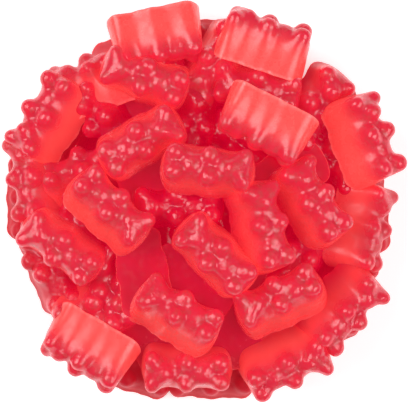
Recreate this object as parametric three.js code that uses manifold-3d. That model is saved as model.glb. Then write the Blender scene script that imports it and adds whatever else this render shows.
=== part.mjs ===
// A heap of gummy bears, as tipped out on a table: one solid, flat underneath.
// The bears that show are fused onto a smaller lump inside.
// Millimetres, +Z up, origin on the table at the middle of the heap.
import * as THREE from "three";
import { mergeVertices } from "three/addons/utils/BufferGeometryUtils.js";
import Module from "manifold-3d";

const jelly = { color: 0xe8222f, roughness: 0.28, metalness: 0 };

// The lump of bears inside the heap, a low dome.
const core = { radius: 34, height: 19, sides: 20, rings: 5 };

// The heap stands on this plane. Bears that lie on it are pressed flat there.
const table = { z: 0, reach: 200 };

// Where bears cross, faces smaller than this are merged.
const seam = 0.1;

// Half of a cast bear's thickness: its place in the list below is at this depth.
const middle = 5.8;

// One bear, cut across from its crown (y > 0) to its soles. Its flat back is at z = 0.
// back: half width there. flank: half width at flankZ. limb: half spacing of the paired
// bumps and limbZ their height. frontZ: height on the bear's own centre line.
const bearSections = [
  { at: "crown", y: 11.1, back: 4.3, flank: 3.6, flankZ: 4.5, limb: 2.4, limbZ: 7.8, frontZ: 8.2 },
  { at: "ears", y: 9.3, back: 5.9, flank: 5.3, flankZ: 6.0, limb: 3.6, limbZ: 10.2, frontZ: 10.6 },
  { at: "snout", y: 5.8, back: 5.8, flank: 5.0, flankZ: 7.0, limb: 2.4, limbZ: 11.1, frontZ: 12.1 },
  { at: "neck", y: 3.0, back: 5.8, flank: 4.9, flankZ: 6.0, limb: 2.6, limbZ: 9.4, frontZ: 9.4 },
  { at: "paws", y: 0.1, back: 6.4, flank: 5.4, flankZ: 7.0, limb: 2.9, limbZ: 12.0, frontZ: 9.8 },
  { at: "waist", y: -4.3, back: 5.8, flank: 5.0, flankZ: 6.0, limb: 2.8, limbZ: 9.8, frontZ: 10.7 },
  { at: "feet", y: -7.8, back: 5.8, flank: 5.2, flankZ: 7.0, limb: 2.4, limbZ: 12.3, frontZ: 9.6 },
  { at: "soles", y: -10.9, back: 4.4, flank: 3.9, flankZ: 4.5, limb: 2.4, limbZ: 8.6, frontZ: 8.0 },
];

// The bears, from the table up: place of the bear's middle, the way its head points
// (turn, degrees from +X) and its roll about its own length (0 is belly up).
const bears = [
  // on the table, all round
  { x: 38, y: -2, z: 5.6, turn: 95, roll: 0 },
  { x: 31.5, y: -20, z: 5.6, turn: 52, roll: 0 },
  { x: 20, y: -34, z: 5.6, turn: 25, roll: 0 },
  { x: 2, y: -40.4, z: 5.6, turn: 180, roll: 0 },
  { x: -17, y: -38.7, z: 5.6, turn: 163, roll: 0 },
  { x: -29.8, y: -20.8, z: 5.6, turn: 128, roll: 0 },
  { x: -41, y: 1.2, z: 5.6, turn: 90, roll: 0 },
  { x: -35, y: 18, z: 5.6, turn: 60, roll: 0 },
  { x: -20.5, y: 31.5, z: 5.6, turn: 30, roll: 0 },
  { x: -2, y: 38, z: 5.6, turn: 5, roll: 0 },
  { x: 13, y: 32.5, z: 5.6, turn: 170, roll: 0 },
  { x: 34, y: 18.5, z: 5.6, turn: 115, roll: 0 },
  // second round, from the far side clockwise
  { x: -15.2, y: 32.5, z: 14.5, turn: 20, roll: 30 },
  { x: 2.9, y: 32.8, z: 17.2, turn: 237, roll: 0 },
  { x: 12.4, y: 26.5, z: 18, turn: 170, roll: 0 },
  { x: 25.6, y: 22, z: 16, turn: 55, roll: 10 },
  { x: 36.8, y: -5.4, z: 15, turn: 77, roll: 60 },
  { x: 25.8, y: -30.4, z: 10, turn: 30, roll: 0 },
  { x: -3.7, y: -38.3, z: 16.5, turn: 180, roll: -10 },
  { x: -25.5, y: -23.5, z: 15, turn: 20, roll: 20 },
  { x: -35.2, y: -15.7, z: 12, turn: 112, roll: 0 },
  { x: -37, y: -6, z: 10, turn: 88, roll: -20 },
  { x: -39.6, y: 5.8, z: 16.5, turn: 97, roll: -30 },
  { x: -22.5, y: 19.8, z: 15.5, turn: 130, roll: -30 },
  { x: -25.2, y: 28.7, z: 15.5, turn: 200, roll: 70 },
  // seen in the gaps between the top bears
  { x: -28, y: 7, z: 16, turn: 20, roll: -40 },
  { x: -30, y: -3.5, z: 14, turn: 100, roll: 0 },
  { x: -22.5, y: -20, z: 15, turn: 110, roll: 10 },
  { x: -14, y: -16, z: 16, turn: 100, roll: 180 },
  { x: -3, y: -18.5, z: 14.9, turn: 150, roll: 180 },
  { x: 6, y: -28, z: 10, turn: 110, roll: 180 },
  { x: 10, y: -15, z: 15, turn: 0, roll: 180 },
  { x: 22, y: -12, z: 17, turn: 60, roll: 0 },
  { x: 18, y: 6, z: 15, turn: 30, roll: 180 },
  { x: 9, y: 13, z: 14, turn: 140, roll: 0 },
  { x: -2.3, y: 17.5, z: 17, turn: 80, roll: 0 },
  { x: -13.5, y: 21, z: 11, turn: 60, roll: 180 },
  { x: -14, y: 6.5, z: 15.5, turn: 100, roll: 180 },
  { x: 4.5, y: -0.5, z: 14, turn: 75, roll: 0 },
  { x: -5, y: -9, z: 13, turn: 38, roll: 0 },
  { x: -5.8, y: -0.5, z: 20, turn: 182, roll: 0 },
  { x: -13, y: -29.5, z: 8, turn: 120, roll: 180 },
  // on top, from the rim in
  { x: 18.9, y: -37.1, z: 17.5, turn: 24, roll: 26 },
  { x: 32, y: -24.4, z: 18, turn: 48, roll: 38 },
  { x: 27.9, y: 11.3, z: 13.3, turn: 324, roll: 0 },
  { x: 37.5, y: 14.9, z: 22, turn: 111, roll: 40 },
  { x: -36.2, y: 20.2, z: 19.5, turn: 238, roll: 28 },
  { x: -26.7, y: -33.8, z: 18.5, turn: 149, roll: -68 },
  { x: 14.2, y: 37.5, z: 20.5, turn: 162, roll: 74 },
  { x: -10.5, y: 37.8, z: 20.5, turn: 191, roll: -72 },
  { x: -13.3, y: 29, z: 22, turn: 160, roll: 0 },
  { x: -14.7, y: 14.2, z: 25.5, turn: 31, roll: 0 },
  { x: 25, y: 0.4, z: 24.5, turn: 123, roll: 18 },
  { x: -5.7, y: -24.9, z: 24, turn: 149, roll: 20 },
  { x: 17.4, y: -21.4, z: 24, turn: 204, roll: 16 },
  { x: -32.5, y: -10, z: 22, turn: 144, roll: -10 },
  { x: -21.5, y: -0.7, z: 26, turn: 316, roll: -17 },
  { x: 13.7, y: -5.2, z: 28, turn: 104, roll: 20 },
  { x: 2.7, y: -11.9, z: 29.5, turn: 136, roll: 0 },
  { x: 0.7, y: 8.1, z: 31, turn: 353, roll: -8 },
  { x: 14, y: 17.7, z: 29, turn: 153, roll: -80 },
];

// A bear's flat back and rounded front as one closed skin: the sections in a row,
// joined ring to ring, with a fan at each end.
function bearGeometry() {
  const rings = bearSections.map((s) => [
    [-s.back, s.y, 0],
    [-s.flank, s.y, s.flankZ],
    [-s.limb, s.y, s.limbZ],
    [0, s.y, s.frontZ],
    [s.limb, s.y, s.limbZ],
    [s.flank, s.y, s.flankZ],
    [s.back, s.y, 0],
  ]);
  const around = rings[0].length;
  const faces = [];
  for (let row = 0; row + 1 < rings.length; row += 1) {
    for (let i = 0; i < around; i += 1) {
      const a = row * around + i;
      const b = row * around + ((i + 1) % around);
      faces.push(a, b + around, b, a, a + around, b + around);
    }
  }
  const last = (rings.length - 1) * around;
  for (let i = 1; i + 1 < around; i += 1) {
    faces.push(0, i, i + 1, last, last + i + 1, last + i);
  }
  const geometry = new THREE.BufferGeometry();
  geometry.setAttribute("position", new THREE.Float32BufferAttribute(rings.flat(2), 3));
  geometry.setIndex(faces);
  return geometry;
}

// Puts a bear's geometry at its place in the heap.
function laidBear(geometry, { x, y, z, turn, roll }) {
  const matrix = new THREE.Matrix4().makeTranslation(x, y, z);
  matrix.multiply(new THREE.Matrix4().makeRotationZ(THREE.MathUtils.degToRad(turn - 90)));
  matrix.multiply(new THREE.Matrix4().makeRotationY(THREE.MathUtils.degToRad(roll)));
  matrix.multiply(new THREE.Matrix4().makeTranslation(0, 0, -middle));
  return geometry.clone().applyMatrix4(matrix);
}

// The lump inside: a quarter ellipse turned about the heap's axis, closed at its foot.
function coreGeometry() {
  const profile = [new THREE.Vector2(0, table.z)];
  for (let ring = 0; ring <= core.rings; ring += 1) {
    const angle = ((Math.PI / 2) * ring) / core.rings;
    const radius = ring === core.rings ? 0 : core.radius * Math.cos(angle);
    profile.push(new THREE.Vector2(radius, core.height * Math.sin(angle)));
  }
  return new THREE.LatheGeometry(profile, core.sides).rotateX(Math.PI / 2);
}

const wasm = await Module();
wasm.setup();

function solidFrom(geometry) {
  const bare = geometry.clone();
  bare.deleteAttribute("normal");
  bare.deleteAttribute("uv");
  const merged = mergeVertices(bare, 1e-4);
  const corners = merged.index.array;
  const faces = [];
  for (let i = 0; i < corners.length; i += 3) {
    const [a, b, c] = corners.slice(i, i + 3);
    if (a !== b && b !== c && c !== a) faces.push(a, b, c);
  }
  return new wasm.Manifold(
    new wasm.Mesh({
      numProp: 3,
      vertProperties: new Float32Array(merged.attributes.position.array),
      triVerts: new Uint32Array(faces),
    }),
  );
}

function geometryFrom(solid) {
  const mesh = solid.getMesh();
  const geometry = new THREE.BufferGeometry();
  geometry.setAttribute("position", new THREE.BufferAttribute(mesh.vertProperties, 3));
  geometry.setIndex(new THREE.BufferAttribute(mesh.triVerts, 1));
  return geometry;
}

// Fuses all bears onto the lump, cuts the heap level with the table, and keeps the
// outer skin alone, so that no gap stays sealed inside and no scrap lies loose.
function heapGeometry() {
  const bear = bearGeometry();
  let heap = solidFrom(coreGeometry());
  for (const place of bears) heap = heap.add(solidFrom(laidBear(bear, place)));
  const under = new THREE.BoxGeometry(table.reach, table.reach, table.reach);
  under.translate(0, 0, table.z - table.reach / 2);
  heap = heap.subtract(solidFrom(under));
  const skins = heap.simplify(seam).decompose();
  skins.sort((a, b) => b.volume() - a.volume());
  return geometryFrom(skins[0]);
}

const heap = new THREE.Mesh(heapGeometry(), new THREE.MeshStandardMaterial(jelly));
heap.name = "gummy_bear_heap";

const part = new THREE.Group();
part.add(heap);

export default part;
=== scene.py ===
import math
import random

import bmesh
import bpy
from mathutils import Matrix, Vector, noise


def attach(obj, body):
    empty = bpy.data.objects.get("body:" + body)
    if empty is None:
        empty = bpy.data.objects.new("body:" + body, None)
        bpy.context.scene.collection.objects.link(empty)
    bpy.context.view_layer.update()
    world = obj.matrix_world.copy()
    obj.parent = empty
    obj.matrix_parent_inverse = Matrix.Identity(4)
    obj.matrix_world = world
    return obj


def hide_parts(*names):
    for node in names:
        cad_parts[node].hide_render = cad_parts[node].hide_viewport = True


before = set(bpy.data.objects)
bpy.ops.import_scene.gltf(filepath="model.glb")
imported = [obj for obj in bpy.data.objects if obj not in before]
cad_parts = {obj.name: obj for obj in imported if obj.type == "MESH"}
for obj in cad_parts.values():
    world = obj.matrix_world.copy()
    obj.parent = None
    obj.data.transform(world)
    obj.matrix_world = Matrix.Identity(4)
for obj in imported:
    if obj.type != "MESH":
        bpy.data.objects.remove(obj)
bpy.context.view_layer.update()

mm = 0.001
body = "root"
heapNode = "gummy_bear_heap"

# One cast bear, in millimetres: flat back at z 0, head towards +Y, front towards +Z.
# Each lobe: x, y, radius across, radius along, height of its crown, depth of its dome
# and how far its foot spreads at the back. A paired lobe is repeated at -x.
bearMould = {
    "single": {
        "head": (0, 6.8, 4.1, 3.7, 11.2, 4.6, 1.9),
        "crown": (0, 8.7, 3.8, 2.1, 9.9, 4.2, 2.0),
        "snout": (0, 5.4, 2.3, 2.0, 12.4, 1.9, 1.0),
        "neck": (0, 3.0, 4.5, 2.8, 10.3, 4.8, 2.0),
        "torso": (0, -1.4, 4.1, 5.2, 10.6, 5.0, 2.0),
        "belly": (0, -3.5, 3.0, 3.0, 11.2, 2.4, 1.0),
        "waist": (0, -4.0, 4.6, 3.0, 10.2, 4.8, 2.0),
        "hip": (0, -7.6, 4.1, 2.7, 10.2, 4.6, 1.9),
    },
    "paired": {
        "ear": (3.0, 8.3, 2.0, 1.9, 11.5, 1.8, 1.3),
        "brow": (1.5, 6.9, 1.5, 1.4, 11.5, 1.6, 0.8),
        "shoulder": (3.0, 0.2, 2.2, 2.4, 10.4, 4.2, 1.5),
        "paw": (2.55, 0.4, 2.1, 2.15, 12.2, 1.7, 1.3),
        "thigh": (2.7, -7.0, 2.3, 2.6, 10.4, 4.2, 1.5),
        "foot": (2.25, -7.6, 2.1, 2.25, 12.1, 1.7, 1.3),
    },
    "around": 32,  # segments round a lobe
    "upright": 18,
    # A lobe is a ball of radius 1 pulled out to a dome on a wall:
    "domeFrom": -0.02,  # everything of the ball above this is dome
    "axis": 0.02,  # closer to the ball's axis than this is the middle of the back
    "wall": 0.9,  # the ball's depth at which the wall reaches the back
    "flare": 1.5,  # the higher, the closer to the back the wall spreads
    "flareAlong": 0.4,  # share of the spread along the bear
    "voxel": 0.33,
    "edge": 0.3,  # height of the rim round the back, which stays crisp
    "flank": 7.6,  # up to here the sides are smooth, and above it come the features
    "melts": 5,  # times that rim and sides are smoothed in turn, to run the lobes together
    "meltRim": 8,  # rounds of smoothing each time
    "meltFlank": 24,
    "meltFront": 30,
    "keep": 0.36,  # share of the faces kept
    "crisp": 55,  # edges sharper than this, in degrees, are not shaded smooth
    "middle": 5.8,  # depth of the point that the heap's list places
    "thickness": 12,
    "halfLength": 11,
    "facingBack": -0.9,  # faces that look down more than this are the flat back
    "casts": 4,  # slightly different bears
    "unevenness": 0.04,
    "bend": 0.5,  # sideways bow of the most bent cast, over its length
    "seed": 11,
}


def addLobe(bm, x, y, across, along, crown, depth, spread):
    made = bmesh.ops.create_uvsphere(
        bm, u_segments=bearMould["around"], v_segments=bearMould["upright"], radius=1.0
    )["verts"]
    shoulder = crown - depth
    for v in made:
        ring = math.hypot(v.co.x, v.co.y)
        if v.co.z > bearMould["domeFrom"]:  # the dome
            v.co = Vector((x + v.co.x * across, y + v.co.y * along, shoulder + v.co.z * depth))
        elif ring < bearMould["axis"]:  # the middle of the back
            v.co = Vector((x, y, 0))
        else:  # the wall between them, which spreads towards the back
            down = min(1.0, -v.co.z / bearMould["wall"])
            out = spread * down ** bearMould["flare"]
            v.co = Vector((
                x + v.co.x / ring * (across + out),
                y + v.co.y / ring * (along + out * bearMould["flareAlong"]),
                shoulder * (1 - down),
            ))


def throughModifier(mesh, kind, settings):
    holder = bpy.data.objects.new("holder", mesh)
    bpy.context.scene.collection.objects.link(holder)
    step = holder.modifiers.new("step", kind)
    for key, value in settings.items():
        setattr(step, key, value)
    bpy.context.view_layer.update()
    made = holder.evaluated_get(bpy.context.evaluated_depsgraph_get())
    result = bpy.data.meshes.new_from_object(made)
    bpy.data.objects.remove(holder)
    return result


def soften(bm, verts, rounds, flat=False):
    for i in range(rounds):
        bmesh.ops.smooth_vert(
            bm, verts=verts, factor=0.5, use_axis_x=True, use_axis_y=True, use_axis_z=not flat
        )


def castBear(name, draw):
    spread = bearMould["unevenness"]
    bm = bmesh.new()
    for kind in ("single", "paired"):
        for x, y, *sizes in bearMould[kind].values():
            for side in (1, -1) if kind == "paired" else (1,):
                uneven = [size * (1 + spread * draw.uniform(-1, 1)) for size in sizes]
                addLobe(bm, x * side, y, *uneven)
    bow = bearMould["bend"] * draw.uniform(-1, 1)
    for v in bm.verts:
        v.co.x += bow * (v.co.y / bearMould["halfLength"]) ** 2
    bmesh.ops.recalc_face_normals(bm, faces=bm.faces[:])
    lobes = bpy.data.meshes.new(name)
    bm.to_mesh(lobes)
    bm.free()
    skin = throughModifier(lobes, "REMESH", {"mode": "VOXEL", "voxel_size": bearMould["voxel"]})
    bm = bmesh.new()
    bm.from_mesh(skin)
    rim = [v for v in bm.verts if v.co.z < bearMould["edge"]]
    flank = [v for v in bm.verts if bearMould["edge"] <= v.co.z < bearMould["flank"]]
    front = [v for v in bm.verts if v.co.z >= bearMould["edge"]]
    for i in range(bearMould["melts"]):
        soften(bm, rim, bearMould["meltRim"], flat=True)
        soften(bm, flank, bearMould["meltFlank"])
    soften(bm, front, bearMould["meltFront"])
    bm.to_mesh(skin)
    bm.free()
    cast = throughModifier(skin, "DECIMATE", {"ratio": bearMould["keep"]})
    cast.set_sharp_from_angle(angle=math.radians(bearMould["crisp"]))
    for face in cast.polygons:
        face.use_smooth = face.normal.z > bearMould["facingBack"]
    return cast


# Where each bear lies, in millimetres and degrees: x, y and z of its middle, the way its
# head points from +X, and its roll about its own length, 0 being belly up.
heap = {
    "bears_on_the_table": (
        (38, -2, 5.6, 95, 0),
        (31.5, -20, 5.6, 52, 0),
        (20, -34, 5.6, 25, 0),
        (2, -40.4, 5.6, 180, 0),
        (-17, -38.7, 5.6, 163, 0),
        (-29.8, -20.8, 5.6, 128, 0),
        (-41, 1.2, 5.6, 90, 0),
        (-35, 18, 5.6, 60, 0),
        (-20.5, 31.5, 5.6, 30, 0),
        (-2, 38, 5.6, 5, 0),
        (13, 32.5, 5.6, 170, 0),
        (34, 18.5, 5.6, 115, 0),
    ),
    "bears_of_the_second_round": (
        (-15.2, 32.5, 14.5, 20, 30),
        (2.9, 32.8, 17.2, 237, 0),
        (12.4, 26.5, 18, 170, 0),
        (25.6, 22, 16, 55, 10),
        (36.8, -5.4, 15, 77, 60),
        (25.8, -30.4, 10, 30, 0),
        (-3.7, -38.3, 16.5, 180, -10),
        (-25.5, -23.5, 15, 20, 20),
        (-35.2, -15.7, 12, 112, 0),
        (-37, -6, 10, 88, -20),
        (-39.6, 5.8, 16.5, 97, -30),
        (-22.5, 19.8, 15.5, 130, -30),
        (-25.2, 28.7, 15.5, 200, 70),
    ),
    "bears_in_the_gaps": (
        (-28, 7, 16, 20, -40),
        (-30, -3.5, 14, 100, 0),
        (-22.5, -20, 15, 110, 10),
        (-14, -16, 16, 100, 180),
        (-3, -18.5, 14.9, 150, 180),
        (6, -28, 10, 110, 180),
        (10, -15, 15, 0, 180),
        (22, -12, 17, 60, 0),
        (18, 6, 15, 30, 180),
        (9, 13, 14, 140, 0),
        (-2.3, 17.5, 17, 80, 0),
        (-13.5, 21, 11, 60, 180),
        (-14, 6.5, 15.5, 100, 180),
        (4.5, -0.5, 14, 75, 0),
        (-5, -9, 13, 38, 0),
        (-5.8, -0.5, 20, 182, 0),
        (-13, -29.5, 8, 120, 180),
    ),
    "bears_on_top": (
        (18.9, -37.1, 17.5, 24, 26),
        (32, -24.4, 18, 48, 38),
        (27.9, 11.3, 13.3, 324, 0),
        (37.5, 14.9, 22, 111, 40),
        (-36.2, 20.2, 19.5, 238, 28),
        (-26.7, -33.8, 18.5, 149, -68),
        (14.2, 37.5, 20.5, 162, 74),
        (-10.5, 37.8, 20.5, 191, -72),
        (-13.3, 29, 22, 160, 0),
        (-14.7, 14.2, 25.5, 31, 0),
        (25, 0.4, 24.5, 123, 18),
        (-5.7, -24.9, 24, 149, 20),
        (17.4, -21.4, 24, 204, 16),
        (-32.5, -10, 22, 144, -10),
        (-21.5, -0.7, 26, 316, -17),
        (13.7, -5.2, 28, 104, 20),
        (2.7, -11.9, 29.5, 136, 0),
        (0.7, 8.1, 31, 353, -8),
        (14, 17.7, 29, 153, -80),
    ),
}


def laid(x, y, z, turn, roll):
    # a cast's head points along +Y, so it is turned back by a quarter first
    return (
        Matrix.Translation((x, y, z))
        @ Matrix.Rotation(math.radians(turn - 90), 4, "Z")
        @ Matrix.Rotation(math.radians(roll), 4, "Y")
        @ Matrix.Translation((0, 0, -bearMould["middle"]))
    )


# The heap's own outline, in millimetres, from which each point's depth in it is told, to paint
# shade deeper in the heap and at its foot.
dome = {
    "top": 36,
    "rim": 20,
    "radius": 47,
    "range": 20,  # this far below the outline, the jelly is at its deepest and its painted shade darkest
    "lowest": 26,  # painted shade at the foot of the heap begins from here down
    "inner": 30,  # and from this radius
    "outer": 40,
}


def depthInHeap(place):
    reach = min(1.0, math.hypot(place.x, place.y) / dome["radius"])
    outline = dome["top"] - (dome["top"] - dome["rim"]) * reach**2
    return min(1.0, max(0.0, (outline - place.z) / dome["range"]))


# how much painted shade the foot of the heap gets
def nearTheRim(place):
    outward = (math.hypot(place.x, place.y) - dome["inner"]) / (dome["outer"] - dome["inner"])
    return min(1.0, max(0.0, outward)) * max(0.0, 1 - place.z / dome["lowest"])


def finishPiece(bm, name, material):
    # masks for the painted shade down in the heap and at its foot
    deep = bm.verts.layers.float.new("deep")
    low = bm.verts.layers.float.new("low")
    for v in bm.verts:
        v.co.z = max(0.0, v.co.z)
        v[deep] = depthInHeap(v.co)
        v[low] = nearTheRim(v.co)
        v.co *= mm
    mesh = bpy.data.meshes.new(name)
    bm.to_mesh(mesh)
    bm.free()
    mesh.materials.append(material)
    piece = bpy.data.objects.new(name, mesh)
    bpy.context.scene.collection.objects.link(piece)
    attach(piece, body)
    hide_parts(heapNode)
    print(name, len(mesh.vertices), "vertices")
    return piece


def pileBears(name, places, casts, draw, material):
    bm = bmesh.new()
    front = bm.verts.layers.float.new("front")
    tone = bm.verts.layers.float.new("tone")
    back = bm.faces.layers.float.new("back")
    for place in places:
        before = len(bm.verts)
        facesBefore = len(bm.faces)
        bm.from_mesh(draw.choice(casts))
        bm.verts.ensure_lookup_table()
        bm.faces.ensure_lookup_table()
        for face in bm.faces[facesBefore:]:
            face[back] = 0.0 if face.smooth else 1.0
        matrix = laid(*place)
        own = draw.uniform(0, 1)
        for v in bm.verts[before:]:
            v[front] = min(1.0, max(0.0, v.co.z / bearMould["thickness"]))
            v[tone] = own
            v.co = matrix @ v.co
    return finishPiece(bm, name, material)


core = {
    "radius": 34,  # millimetres
    "height": 19,
    "detail": 6,
    "bumpSize": 7,
    "bumpHeight": 1.2,
    "bumpSink": 0.5,  # keeps the bumps mostly below the lump's own surface
}


def pileCore(material):
    bm = bmesh.new()
    bmesh.ops.create_icosphere(bm, subdivisions=core["detail"], radius=1.0)
    for v in bm.verts:
        out = v.co.normalized()
        v.co = Vector((out.x * core["radius"], out.y * core["radius"], out.z * core["height"]))
        bump = noise.noise(v.co / core["bumpSize"]) - core["bumpSink"]
        v.co += out * core["bumpHeight"] * bump
    everything = bm.verts[:] + bm.edges[:] + bm.faces[:]
    cut = bmesh.ops.bisect_plane(
        bm, geom=everything, plane_co=(0, 0, 0), plane_no=(0, 0, 1), clear_inner=True
    )["geom_cut"]
    rim = [e for e in cut if isinstance(e, bmesh.types.BMEdge)]
    bmesh.ops.holes_fill(bm, edges=rim, sides=0)
    bmesh.ops.triangulate(bm, faces=bm.faces[:])
    bmesh.ops.recalc_face_normals(bm, faces=bm.faces[:])
    for face in bm.faces:
        face.smooth = True
    return finishPiece(bm, "jelly_core", material)


class Wire:
    # a socket in a material, so that shader maths reads as plain sums
    def __init__(self, recipe, socket):
        self.recipe = recipe
        self.socket = socket

    def sum(self, operation, first, second):
        return self.recipe.node("ShaderNodeMath", {"operation": operation}, {0: first, 1: second})

    def __add__(self, other):
        return self.sum("ADD", self, other)

    def __sub__(self, other):
        return self.sum("SUBTRACT", self, other)

    def __rsub__(self, other):
        return self.sum("SUBTRACT", other, self)

    def __mul__(self, other):
        return self.sum("MULTIPLY", self, other)

    def orMore(self, other):
        return self.sum("MAXIMUM", self, other)

    __radd__ = __add__
    __rmul__ = __mul__


class Recipe:
    def __init__(self, name):
        self.material = bpy.data.materials.new(name)
        self.material.use_nodes = True
        self.tree = self.material.node_tree
        self.shader = self.tree.nodes["Principled BSDF"]

    def node(self, kind, settings, sockets, output=0):
        made = self.tree.nodes.new(kind)
        for key, value in settings.items():
            setattr(made, key, value)
        for key, value in sockets.items():
            self.feed(made.inputs[key], value)
        return Wire(self, made.outputs[output])

    def feed(self, socket, value):
        if isinstance(value, Wire):
            self.tree.links.new(value.socket, socket)
        else:
            socket.default_value = value

    def attribute(self, name):
        return self.node("ShaderNodeAttribute", {"attribute_name": name}, {}, "Fac")

    def place(self):
        return self.node("ShaderNodeTexCoord", {}, {}, "Object")

    def noise(self, size, detail=2.0):
        sockets = {"Vector": self.place(), "Scale": 1 / (size * mm), "Detail": detail}
        return self.node("ShaderNodeTexNoise", {}, sockets)

    def between(self, value, low, high):
        sockets = {"Value": value, "From Min": low, "From Max": high}
        return self.node("ShaderNodeMapRange", {"interpolation_type": "SMOOTHSTEP"}, sockets)

    def blend(self, mask, first, second):
        # the Mix node's sockets share their names: 6 and 7 take colours, and 2 gives one
        sockets = {0: mask, 6: first, 7: second}
        return self.node("ShaderNodeMix", {"data_type": "RGBA"}, sockets, 2)

    def bump(self, height, strength, distance):
        sockets = {"Height": height, "Strength": strength, "Distance": distance}
        return self.node("ShaderNodeBump", {}, sockets)


jelly = {
    "edge": (0.87, 0.15, 0.14, 1),  # the rim round the back: painted light, lighter where light shines through the thin jelly
    "thin": (0.83, 0.074, 0.07, 1),  # the sides: painted light, lighter where light shines through the thinner jelly
    "thick": (0.61, 0.018, 0.046, 1),  # the front and the flat back: painted shade, darker where the jelly is thick
    "deep": (0.51, 0.001, 0.028, 1),  # painted shade down in the heap
    "low": (0.44, 0.014, 0.02, 1),  # painted shade at the foot of the heap
    "smearAndReflection": (0.48, 0.045, 0.05, 1),  # oily smudges, partly a painted greyish reflection round the highlights
    # Between which values each part begins and ends. The first three are shares of a
    # bear's thickness.
    "edgeBand": (0.01, 0.08),
    "frontBand": (0.4, 0.9),
    "knobBand": (0.65, 0.9),
    "deepBand": (0.1, 0.75),
    "lowBand": (0.0, 1.0),
    "smudgeBand": (0.46, 0.68),
    "smudgeSize": 1.7,
    "smearAndReflectionOver": 0.2,  # share of the smudges and painted reflection everywhere
    "smearAndReflectionOnKnobs": 0.4,  # and how much more of it on the knobs, where the highlights fall
    "backShade": 0.3,  # a flat back gets this much more painted shade
    "tone": 0.3,  # difference between one bear and the next
    "scatter": (1.0, 0.3, 0.3),
    "scatterScale": 3.0 * mm,
    "gloss": 0.14,
    "smudge": 0.12,
    "dull": 0.12,  # more roughness on the smooth sides
    "lowDull": 0.5,  # and at the foot of the heap
    # the jelly gives off its own colour as light: a painted glow for light passing through it
    "glow": 0.45,
    "wave": 0.4,
    "waveDepth": 0.7 * mm,
    "waveSize": 1.5,
    "waveDetail": 3.0,
    "calm": 0.1,  # share of the waves on the smooth sides
    "index": 1.6,
    "lowIndex": 1.32,  # for the bears on the table, whose sides mirror it
}


def jellyFinish(name, addedShade, index):
    recipe = Recipe(name)
    height = recipe.attribute("front")
    edge = recipe.between(height, *jelly["edgeBand"])
    front = recipe.between(height, *jelly["frontBand"])
    knobs = recipe.between(height, *jelly["knobBand"])
    back = recipe.attribute("back")
    tone = (recipe.attribute("tone") - 0.5) * jelly["tone"]
    depth = recipe.between(recipe.attribute("deep") + tone, *jelly["deepBand"])
    # how much painted shade a point gets: more down in the heap, more on a flat back, and all of
    # it in the core
    deep = depth + back * jelly["backShade"] + addedShade
    low = recipe.between(recipe.attribute("low"), *jelly["lowBand"])
    smudge = recipe.between(recipe.noise(jelly["smudgeSize"]), *jelly["smudgeBand"])

    # painted light: the rim and the sides lighter, as light shines through the thin jelly there
    sides = recipe.blend(edge, jelly["edge"], jelly["thin"])
    # painted shade: the front and the flat back darker, as less light gets through the thick
    # jelly
    clear = recipe.blend(front.orMore(back), sides, jelly["thick"])
    # painted shade, darker down in the heap
    sunken = recipe.blend(deep, clear, jelly["deep"])
    # painted shade, darker at the foot of the heap
    atFoot = recipe.blend(low, sunken, jelly["low"])
    # oily smudges and a painted greyish reflection, mostly on the knobs where the highlights fall
    smearAndReflection = smudge * (knobs * jelly["smearAndReflectionOnKnobs"] + jelly["smearAndReflectionOver"]) * (1 - deep)
    colour = recipe.blend(smearAndReflection, atFoot, jelly["smearAndReflection"])

    dull = (1 - knobs) * (1 - back) * jelly["dull"]
    waves = recipe.noise(jelly["waveSize"], jelly["waveDetail"])
    wave = waves * (knobs * (1 - jelly["calm"]) + jelly["calm"])
    sockets = {
        "Base Color": colour,
        "Roughness": dull + smudge * jelly["smudge"] + low * jelly["lowDull"] + jelly["gloss"],
        "IOR": index,
        # painted glow: the jelly's colour given off as light, standing in for light passing
        # through it
        "Emission Color": colour,
        "Emission Strength": jelly["glow"],
        "Subsurface Weight": 1.0,
        "Subsurface Radius": jelly["scatter"],
        "Subsurface Scale": jelly["scatterScale"],
        "Normal": recipe.bump(wave, jelly["wave"], jelly["waveDepth"]),
    }
    for key, value in sockets.items():
        recipe.feed(recipe.shader.inputs[key], value)
    return recipe.material


studio = {
    "floor": 3.0,
    "floorDrop": 0.02 * mm,  # so that it doesn't share a face with the heap's underside
    "floorColour": (0.95, 0.95, 0.95, 1),
    "floorGlow": 0.5,
    "world": 0.13,
    "lights": {  # place, power, size
        "left": ((-0.335, 0.12, 0.46), 2.1, 0.42),
        "right": ((0.335, -0.11, 0.46), 1.8, 0.42),
    },
    "cameraHeight": 0.6,
    "cameraReach": 10,
    "lens": 222,
    "sensor": 36,
}


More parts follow.
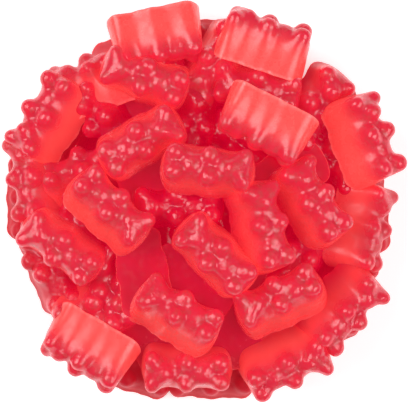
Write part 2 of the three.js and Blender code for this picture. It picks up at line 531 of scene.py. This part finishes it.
def layFloor():
    bm = bmesh.new()
    bmesh.ops.create_grid(bm, x_segments=1, y_segments=1, size=studio["floor"])
    mesh = bpy.data.meshes.new("floor")
    bm.to_mesh(mesh)
    bm.free()
    recipe = Recipe("floor")
    recipe.feed(recipe.shader.inputs["Base Color"], studio["floorColour"])
    recipe.feed(recipe.shader.inputs["Emission Color"], studio["floorColour"])
    recipe.feed(recipe.shader.inputs["Emission Strength"], studio["floorGlow"])
    mesh.materials.append(recipe.material)
    floor = bpy.data.objects.new("floor", mesh)
    floor.location.z = -studio["floorDrop"]
    bpy.context.scene.collection.objects.link(floor)


def lightUp():
    world = bpy.data.worlds.new("studio")
    world.use_nodes = True
    around = world.node_tree.nodes["Background"]
    around.inputs["Color"].default_value = (1, 1, 1, 1)
    around.inputs["Strength"].default_value = studio["world"]
    bpy.context.scene.world = world
    for name, (place, power, size) in studio["lights"].items():
        lamp = bpy.data.lights.new(name, "AREA")
        lamp.energy = power
        lamp.size = size
        light = bpy.data.objects.new(name, lamp)
        light.location = place
        light.rotation_euler = (-Vector(place)).to_track_quat("-Z", "Y").to_euler()
        bpy.context.scene.collection.objects.link(light)


def setCamera():
    lens = bpy.data.cameras.new("camera")
    lens.lens = studio["lens"]
    lens.sensor_width = studio["sensor"]
    lens.clip_end = studio["cameraReach"]
    camera = bpy.data.objects.new("camera", lens)
    camera.location.z = studio["cameraHeight"]
    bpy.context.scene.collection.objects.link(camera)
    bpy.context.scene.camera = camera
    bpy.context.scene.view_settings.view_transform = "Standard"


setCamera()
lightUp()
layFloor()
print("camera, lights and floor are set")
draw = random.Random(bearMould["seed"])
casts = [castBear("bear%d" % i, draw) for i in range(bearMould["casts"])]
print("cast", len(casts), "bears of", len(casts[0].vertices), "vertices")
redJelly = jellyFinish("red_jelly", 0.0, jelly["index"])
lowJelly = jellyFinish("low_jelly", 0.0, jelly["lowIndex"])
for name, places in heap.items():
    pileJelly = lowJelly if name == "bears_on_the_table" else redJelly
    pileBears(name, places, casts, draw, pileJelly)
# the core takes the full painted shade of the heap's depths
pileCore(jellyFinish("deep_jelly", 1.0, jelly["index"]))
